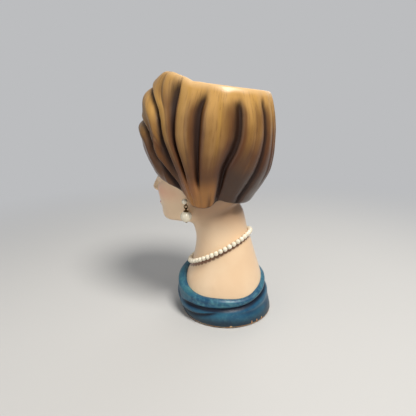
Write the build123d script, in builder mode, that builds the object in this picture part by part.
from build123d import *
from math import cos, radians, sin, tan
import os

# Lady-head vase: a hollow ceramic head and shoulders, open at the top of the hair, with a strung
# pearl necklace and swinging pearl earrings. Millimetres. The origin is the centre of the foot on
# the table, the face looks along -Y, and the head's own left is +X.

# Bust and neck, round in plan
bust_radius = 37.0
neck_radius = 21.8
neck_top_height = 104.0
neck_lean = 10.0
wall = 4.5
floor_thickness = 5.0
foot_ring_width = 7.0
foot_recess = 1.5

# Head
head_forward = 14.0
chin_height = 78.0
seat_height = 150.0
head_half_width = 32.0
face_reach = 44.0
skull_reach = 43.5
jaw_tilt = 14.0

# Face, plain and calm
eye_height = 119.0
eye_offset = 13.0
eye_setback = 10.5
eye_radius = 6.3
nose_height = 105.5
nose_length = 15.5
nose_reach = 8.0
nose_bridge_setback = 3.5
nose_tip_radius = 3.9
nose_bridge_radius = 2.4
nostril_radius = 2.6
nostril_offset = 4.4
lip_height = 94.0
lip_half_length = 8.0
lip_radius = 2.6
lip_setback = 2.2
chin_radius = 9.0
chin_setback = 10.5

# Hair
hair_bottom = 97.0
hair_height = 101.0
hair_side_volume = 12.5
hair_front_volume = 11.0
hair_back_volume = 9.2
lock_relief = 2.2
crown_drop = 32.0
mouth_half_width = 31.0
mouth_front_reach = 21.0
mouth_back_reach = 43.0
earring_room = 0.3

# Dress
hem_lift = 1.0
dress_cover = 1.8
fold_depth = 1.6
neckline_height = 33.5
neckline_tilt = 22.8
neckline_lean = 3.0
neckline_half_width = 36.9
neckline_half_depth = 34.5
neckline_offset = 3.5
bust_forward = 3.0

# Necklace
necklace_length = 176.7
pearl_diameter = 4.0
pearl_spacing = 0.06
pearl_bore_radius = 0.5
pearl_seat_gap = 0.1
thread_radius = 0.25
knot_length = 1.4
knot_radius = 0.9
necklace_height = 55.8
necklace_forward = 6.0
necklace_tilt = 30.4

# Earrings
ear_height = 102.0
ear_forward = 24.0
wire_radius = 0.35
wire_gap = 0.08
eye_ring_radius = 1.05
link_radius = 1.45
wire_stand_off = 2.6
wire_set_depth = 4.0
stud_pearl_diameter = 4.2
drop_pearl_diameter = 9.0
drop_cap_radius = 2.1
drop_cap_wall = 0.5
drop_bore_radius = 0.6
drop_pin_radius = 0.4
drop_pin_head_radius = 0.7
drop_pin_head_height = 0.5
small_gap = 0.1

os.makedirs("parts", exist_ok=True)

# Rows run upwards: height share, forward lean share, share of the way from neck to bust radius
bust_level_shares = [
    (0.0, 0.0, 0.9),
    (0.115, 0.15, 1.0),
    (0.29, 0.2, 0.72),
    (0.44, 0.15, 0.36),
    (0.58, 0.22, 0.13),
    (0.71, 0.5, 0.01),
    (0.865, 0.8, -0.01),
    (1.0, 1.0, -0.02),
]

# Rows run upwards: height share, tilt share, then half width, face and skull reach shares
head_level_shares = [
    (0.125, 1.0, 0.53, 0.82, 0.46),
    (0.167, 0.86, 0.70, 0.94, 0.62),
    (0.264, 0.57, 0.83, 0.977, 0.724),
    (0.389, 0.29, 0.915, 0.989, 0.84),
    (0.583, 0.0, 0.978, 0.955, 0.943),
    (0.736, 0.0, 1.0, 1.0, 1.0),
    (0.87, 0.0, 1.0, 0.99, 1.0),
    (1.0, 0.0, 0.985, 0.966, 0.99),
]

# Inside of the head, same columns without the tilt
head_hollow_shares = [
    (0.264, 0.38, 0.45, 0.32),
    (0.389, 0.69, 0.73, 0.60),
    (0.583, 0.83, 0.80, 0.80),
    (0.79, 0.86, 0.86, 0.88),
    (1.0, 0.84, 0.84, 0.87),
]

# Half outline of a head section from the face round to the back: width share, reach share
head_outline_shares = [
    (0.0, -1.0),
    (0.45, -0.92),
    (0.83, -0.58),
    (1.0, -0.05),
    (0.86, 0.52),
    (0.5, 0.87),
    (0.0, 1.0),
]

# Rows run upwards: height share of the hair, then half width, front and back reach shares
hair_level_shares = [
    (-0.04, 0.74, 0.40, 0.56),
    (0.07, 0.865, 0.69, 0.80),
    (0.228, 0.95, 0.81, 0.93),
    (0.406, 1.0, 0.945, 0.992),
    (0.594, 0.99, 1.0, 1.0),
    (0.743, 0.92, 0.97, 0.968),
    (0.881, 0.82, 0.92, 0.92),
    (1.04, 0.69, 0.78, 0.86),
]

# Upper hollow inside the hair, from the seat to the mouth
hair_hollow_shares = [
    (0.0, 0.84, 0.84, 0.87),
    (0.25, 1.06, 1.0, 0.98),
    (0.52, 1.04, 0.86, 0.99),
]

# Furrows between the locks on one side, as shares of the half turn from front to back
furrow_low_shares = [0.0, 0.22, 0.38, 0.49, 0.56, 0.66, 0.81, 1.0]
furrow_high_shares = [0.0, 0.14, 0.29, 0.44, 0.58, 0.72, 0.86, 1.0]

# Side view of the hair's lower edge from nape to fringe: reach share, height share
hairline_shares = [
    (1.345, -0.03),
    (0.58, -0.01),
    (0.318, 0.045),
    (0.08, 0.005),
    (-0.09, 0.044),
    (-0.2, 0.122),
    (-0.373, 0.191),
    (-0.764, 0.277),
    (-1.3, 0.36),
]

# Side view of the rim from the quiff's front over its crest to the back
rim_shares = [
    (-1.3, 0.62),
    (-0.91, 0.832),
    (-0.727, 0.941),
    (-0.48, 0.995),
    (-0.36, 0.945),
    (-0.236, 0.916),
    (0.11, 0.886),
    (0.455, 0.861),
    (0.89, 0.827),
    (1.345, 0.80),
]

# Rows run upwards: height share to the neckline, share of the fold depth
fold_shares = [
    (0.0, 0.0),
    (0.09, 0.5),
    (0.2, 0.85),
    (0.36, 1.0),
    (0.50, 0.45),
    (0.65, 1.0),
    (0.79, 0.4),
    (0.91, 0.9),
    (1.0, 0.3),
]

chin_rise_share = 0.85
bend_share = 0.45
lip_rise_share = 0.75
middle_share = 0.5
mouth_height_share = 0.71
mouth_top_share = 1.1
strand_steps = 72
strand_fittings = 3
knot_turn = 105
half_turn = 180
full_turn = 360
hair_half_width = head_half_width + hair_side_volume
hair_front = face_reach + hair_front_volume
hair_back = skull_reach + hair_back_volume
hair_top = hair_bottom + hair_height
face_front = -head_forward - face_reach


def mix(start, end, share):
    return start + (end - start) * share


def head_section(plane, half_width, front, back):
    # Closed section of the head, symmetrical about the YZ plane
    half = []
    for width_share, reach_share in head_outline_shares:
        reach = front if reach_share < 0 else back
        half.append((width_share * half_width, reach_share * reach))
    other_half = [(-across, along) for across, along in reversed(half[1:-1])]
    with BuildSketch(plane) as section:
        with BuildLine():
            Spline(*half, *other_half, periodic=True)
        make_face()
    return section.sketch


def hair_section(plane, half_width, front, back, furrow_shares):
    # One arc per lock, bulging out between two furrows
    turns = [share * half_turn for share in furrow_shares]
    turns += [full_turn - share * half_turn for share in reversed(furrow_shares[1:-1])]
    turns.append(full_turn)

    def place(turn, relief):
        reach = front if cos(radians(turn)) > 0 else back
        across = (half_width + relief) * sin(radians(turn))
        along = -(reach + relief) * cos(radians(turn))
        return across, along

    with BuildSketch(plane) as section:
        with BuildLine():
            for start, end in zip(turns[:-1], turns[1:]):
                crest = place((start + end) / 2, 0)
                ThreePointArc(place(start, -lock_relief), crest, place(end, -lock_relief))
        make_face()
    return section.sketch


# Outer form of the bust and neck, still solid
with BuildPart() as bust:
    for height_share, lean_share, radius_share in bust_level_shares:
        with BuildSketch(Plane((0, -lean_share * neck_lean, height_share * neck_top_height))):
            Circle(mix(neck_radius, bust_radius, radius_share))
    loft()

# The same with the head and face
with BuildPart() as skin:
    add(bust.part)
    sections = []
    for height_share, tilt_share, width_share, face_share, skull_share in head_level_shares:
        level = Plane((0, -head_forward, mix(chin_height, seat_height, height_share)))
        sections.append(head_section(level.rotated((tilt_share * jaw_tilt, 0, 0)),
                                     width_share * head_half_width,
                                     face_share * face_reach, skull_share * skull_reach))
    loft(sections)
    with Locations((0, face_front + chin_setback, chin_height + chin_radius * chin_rise_share)):
        Sphere(chin_radius)
    with Locations((eye_offset, face_front + eye_setback, eye_height),
                   (-eye_offset, face_front + eye_setback, eye_height)):
        Sphere(eye_radius)
    bridge = Vector(0, face_front + nose_bridge_setback, nose_height + nose_length)
    tip = Vector(0, face_front - nose_reach + nose_tip_radius, nose_height)
    with Locations(Plane(origin=(bridge + tip) / 2, z_dir=bridge - tip)):
        Cone(nose_tip_radius, nose_bridge_radius, (bridge - tip).length)
    with Locations(tip):
        Sphere(nose_tip_radius)
    with Locations((nostril_offset, face_front, nose_height), (-nostril_offset, face_front, nose_height)):
        Sphere(nostril_radius)
    for lip_rise in (lip_radius, -lip_radius):
        with BuildSketch(Plane((0, face_front + lip_setback, lip_height + lip_rise * lip_rise_share))):
            Ellipse(lip_half_length, lip_radius)
            split(bisect_by=Plane.XZ, keep=Keep.BOTTOM)
        revolve(axis=Axis((0, face_front + lip_setback, lip_height + lip_rise * lip_rise_share), (1, 0, 0)))


def skin_hit(start, direction):
    # Outermost point of the bust or face along a ray, with the surface's outward direction
    hits = []
    for face in skin.part.faces():
        hits += face.find_intersection_points(Axis(start, direction))
    ahead = [hit for hit in hits if (hit[0] - Vector(start)).dot(Vector(direction)) > 0]
    point, normal = max(ahead, key=lambda hit: (hit[0] - Vector(start)).length)
    outward = normal if normal.dot(Vector(direction)) > 0 else -normal
    return point, outward


# Places along an earring, the same on both sides: the wire leaves the lobe and carries the stud, its
# eye hangs under the stud, the link in the eye and the drop in the link
stud_radius = stud_pearl_diameter / 2
drop_radius = drop_pearl_diameter / 2
wire_rise = 2 * wire_radius + wire_gap
lobe_reach = skin_hit((0, -ear_forward, ear_height), (1, 0, 0))[0].X
tail_reach = lobe_reach + wire_stand_off
stud_reach = tail_reach + wire_radius + small_gap + stud_radius
eye_level = ear_height - stud_radius - eye_ring_radius - wire_gap
link_level = eye_level + wire_rise - eye_ring_radius - link_radius
drop_eye_level = link_level + wire_rise - eye_ring_radius - link_radius
drop_level = drop_eye_level - eye_ring_radius - drop_cap_wall - drop_radius

# Hollow of the pot: bust and neck, head, and the bowl inside the hair up to the mouth
with BuildPart() as hollow:
    for height_share, lean_share, radius_share in bust_level_shares:
        height = max(floor_thickness, height_share * neck_top_height)
        with BuildSketch(Plane((0, -lean_share * neck_lean, height))):
            Circle(mix(neck_radius, bust_radius, radius_share) - wall)
    loft()
    sections = []
    for height_share, width_share, face_share, skull_share in head_hollow_shares:
        sections.append(head_section(Plane((0, -head_forward, mix(chin_height, seat_height, height_share))),
                                     width_share * head_half_width,
                                     face_share * face_reach, skull_share * skull_reach))
    loft(sections)
    sections = []
    for height_share, width_share, face_share, skull_share in hair_hollow_shares:
        sections.append(head_section(Plane((0, -head_forward, mix(seat_height, hair_top, height_share))),
                                     width_share * head_half_width,
                                     face_share * face_reach, skull_share * skull_reach))
    for height_share in (mouth_height_share, mouth_top_share):
        sections.append(head_section(Plane((0, -head_forward, mix(seat_height, hair_top, height_share))),
                                     mouth_half_width, mouth_front_reach, mouth_back_reach))
    loft(sections)

with BuildPart() as hair:
    sections = []
    for height_share, width_share, front_share, back_share in hair_level_shares:
        furrows = [mix(low, high, min(1, max(0, height_share)))
                   for low, high in zip(furrow_low_shares, furrow_high_shares)]
        sections.append(hair_section(Plane((0, -head_forward, hair_bottom + height_share * hair_height)),
                                     width_share * hair_half_width, front_share * hair_front,
                                     back_share * hair_back, furrows))
    loft(sections)
    with BuildSketch(Plane((0, -head_forward, hair_bottom), x_dir=(0, 1, 0), z_dir=(1, 0, 0))):
        with BuildLine():
            lower = Spline(*[(reach * hair_front, rise * hair_height) for reach, rise in hairline_shares])
            upper = Spline(*[(reach * hair_front, rise * hair_height) for reach, rise in rim_shares])
            Line(lower @ 1, upper @ 0)
            Line(upper @ 1, lower @ 0)
        make_face()
    extrude(amount=hair_half_width + hair_side_volume, both=True, mode=Mode.INTERSECT)
    with BuildSketch(Plane((0, -head_forward, hair_top), x_dir=(1, 0, 0), z_dir=(0, -1, 0))):
        with BuildLine():
            shoulder = hair_half_width + hair_side_volume
            crown = ThreePointArc((-shoulder, -crown_drop), (0, 0), (shoulder, -crown_drop))
            Polyline(crown @ 0, (-shoulder, -2 * hair_height), (shoulder, -2 * hair_height), crown @ 1)
        make_face()
    extrude(amount=hair_front + hair_back, both=True, mode=Mode.INTERSECT)
    add(skin.part, mode=Mode.SUBTRACT)
    add(hollow.part, mode=Mode.SUBTRACT)
    # Room beside the lobes, so that the hair stays off the earrings wherever the ears are
    for side in (1, -1):
        lobe_plane = Plane((side * lobe_reach, -ear_forward, 0), x_dir=(0, side, 0), z_dir=(side, 0, 0))
        with BuildSketch(lobe_plane):
            with Locations((0, ear_height)):
                Circle(stud_radius + earring_room)
            with Locations((0, mix(drop_level, ear_height, middle_share))):
                Rectangle(2 * (link_radius + wire_radius + earring_room), ear_height - drop_level)
            with Locations((0, drop_level)):
                Circle(drop_radius + drop_cap_wall + earring_room)
        extrude(amount=hair_half_width, mode=Mode.SUBTRACT)
hair.part.label = "hair"
export_step(hair.part, "parts/hair.step")

with BuildPart() as vase_casting:
    add(skin.part)
    add(hollow.part, mode=Mode.SUBTRACT)
    with BuildSketch(Plane.XY):
        Circle(mix(neck_radius, bust_radius, bust_level_shares[0][2]) - foot_ring_width)
    extrude(amount=foot_recess, mode=Mode.SUBTRACT)
    for side in (1, -1):
        bore_start = Plane(origin=(side * tail_reach, -ear_forward, ear_height), z_dir=(-side, 0, 0))
        with BuildSketch(bore_start):
            Circle(wire_radius + small_gap)
        extrude(amount=wire_stand_off + wire_set_depth + small_gap, mode=Mode.SUBTRACT)
vase_casting.part.label = "vase_casting"
export_step(vase_casting.part, "parts/vase_casting.step")

with BuildPart() as dress_wrap:
    for rise_share, fold_share in fold_shares:
        level = Plane((neckline_offset * rise_share, -bust_forward * rise_share,
                       mix(hem_lift, neckline_height, rise_share)))
        cover = dress_cover + fold_depth * fold_share
        with BuildSketch(level.rotated((neckline_lean * rise_share, neckline_tilt * rise_share, 0))):
            Ellipse(mix(bust_radius, neckline_half_width, rise_share) + cover - dress_cover * rise_share,
                    mix(bust_radius, neckline_half_depth, rise_share) + cover - dress_cover * rise_share)
    loft()
    add(bust.part, mode=Mode.SUBTRACT)
dress_wrap.part.label = "dress_wrap"
export_step(dress_wrap.part, "parts/dress_wrap.step")


# Where the necklace touches the skin, and the skin's outward direction there
necklace_plane = Plane((0, -necklace_forward, necklace_height)).rotated((necklace_tilt, 0, 0))
strand_seats = []
for step in range(strand_steps):
    turn = radians(knot_turn + full_turn * step / strand_steps)
    ray = necklace_plane.from_local_coords(Vector(cos(turn), sin(turn), 0)) - necklace_plane.origin
    strand_seats.append(skin_hit(necklace_plane.origin, ray))

# Centre line of the pearls; their count is the necklace's, and they fill the way round this neck
pearl_count = int((necklace_length - knot_length) / (pearl_diameter + pearl_spacing))
pearl_radius = pearl_diameter / 2
for fitting in range(strand_fittings):
    stand_off = pearl_radius + pearl_seat_gap
    strand = Edge.make_spline([seat + outward * stand_off for seat, outward in strand_seats], periodic=True)
    pearl_pitch = (strand.length - knot_length) / pearl_count
    pearl_radius = (pearl_pitch - pearl_spacing) / 2
pearl_places = [(knot_length + pearl_pitch) / 2 + index * pearl_pitch for index in range(pearl_count)]
pearl_centres = [strand.position_at(place, PositionMode.LENGTH) for place in pearl_places]

for index, place in enumerate(pearl_places):
    along = strand.tangent_at(place, PositionMode.LENGTH)
    with BuildPart(Plane(origin=pearl_centres[index], z_dir=along)) as necklace_pearl:
        Sphere(pearl_radius)
        Hole(pearl_bore_radius)
    name = f"necklace_pearl_{index + 1:02d}"
    necklace_pearl.part.label = name
    export_step(necklace_pearl.part, f"parts/{name}.step")

# The thread runs straight from pearl to pearl and bends softly inside each one
knot_place = strand.position_at(0, PositionMode.LENGTH)
knot_along = strand.tangent_at(0, PositionMode.LENGTH)
thread_points = [knot_place + knot_along * knot_length / 2]
thread_points += pearl_centres
thread_points += [knot_place - knot_along * knot_length / 2]
bends = []
for before, corner, after in zip(thread_points, thread_points[1:], thread_points[2:]):
    turn = (corner - before).get_angle(after - corner)
    shorter_run = min((corner - before).length, (after - corner).length)
    bends.append(bend_share * shorter_run / tan(radians(turn) / 2))
with BuildPart() as necklace_thread:
    with BuildLine() as thread_path:
        FilletPolyline(*thread_points, radius=bends)
    with BuildSketch(Plane(origin=thread_points[0], z_dir=thread_points[1] - thread_points[0])):
        Circle(thread_radius)
    sweep(path=thread_path.wire())
necklace_thread.part.label = "necklace_thread"
export_step(necklace_thread.part, "parts/necklace_thread.step")

with BuildPart(Plane(origin=knot_place, z_dir=knot_along)) as necklace_knot:
    Sphere(knot_radius)
    Cylinder(knot_radius, knot_length, mode=Mode.INTERSECT)
necklace_knot.part.label = "necklace_knot"
export_step(necklace_knot.part, "parts/necklace_knot.step")

# Earrings: a wire set in the lobe carries a small pearl and an eye; a ring link hangs in the eye and
# the drop hangs in the link, one turned a quarter against the next
for side, side_name in ((1, "left"), (-1, "right")):
    tail = Vector(side * tail_reach, -ear_forward, ear_height)
    stud_centre = Vector(side * stud_reach, -ear_forward, ear_height)
    eye = Vector(side * tail_reach, -ear_forward, eye_level)
    link = Vector(side * tail_reach, -ear_forward, link_level)
    drop_centre = Vector(side * tail_reach, -ear_forward, drop_level)

    with BuildPart() as ear_wire:
        with BuildSketch(Plane(origin=stud_centre, z_dir=(-side, 0, 0))):
            Circle(wire_radius)
        extrude(amount=stud_reach - lobe_reach + wire_set_depth)
        with BuildSketch(Plane(origin=tail, z_dir=(0, 0, -1))):
            Circle(wire_radius)
        extrude(amount=ear_height - eye_level - eye_ring_radius)
        with Locations(Plane(origin=eye, z_dir=(0, 1, 0))):
            Torus(eye_ring_radius, wire_radius)
    ear_wire.part.label = f"{side_name}_ear_wire"
    export_step(ear_wire.part, f"parts/{side_name}_ear_wire.step")

    with BuildPart(Plane(origin=stud_centre, z_dir=(-side, 0, 0))) as stud_pearl:
        Sphere(stud_radius)
        with Locations((0, 0, stud_radius)):
            Hole(pearl_bore_radius, depth=stud_radius)
    stud_pearl.part.label = f"{side_name}_stud_pearl"
    export_step(stud_pearl.part, f"parts/{side_name}_stud_pearl.step")

    with BuildPart(Plane(origin=link, z_dir=(1, 0, 0))) as earring_link:
        Torus(link_radius, wire_radius)
    earring_link.part.label = f"{side_name}_link"
    export_step(earring_link.part, f"parts/{side_name}_link.step")

    with BuildPart(Plane(drop_centre)) as drop_cap:
        Sphere(drop_radius + drop_cap_wall)
        Sphere(drop_radius, mode=Mode.SUBTRACT)
        with Locations((0, 0, drop_radius)):
            Cylinder(drop_cap_radius, drop_radius, mode=Mode.INTERSECT)
        with Locations(Plane(origin=(0, 0, drop_eye_level - drop_level), z_dir=(0, 1, 0))):
            Torus(eye_ring_radius, wire_radius)
        with Locations((0, 0, drop_cap_wall / 2)):
            Cylinder(drop_pin_radius, drop_pearl_diameter + drop_cap_wall)
        with Locations((0, 0, -drop_radius - drop_pin_head_height / 2)):
            Cylinder(drop_pin_head_radius, drop_pin_head_height)
    drop_cap.part.label = f"{side_name}_drop_cap"
    export_step(drop_cap.part, f"parts/{side_name}_drop_cap.step")

    with BuildPart(Plane(drop_centre)) as drop_pearl:
        Sphere(drop_radius)
        Hole(drop_bore_radius)
    drop_pearl.part.label = f"{side_name}_drop_pearl"
    export_step(drop_pearl.part, f"parts/{side_name}_drop_pearl.step")
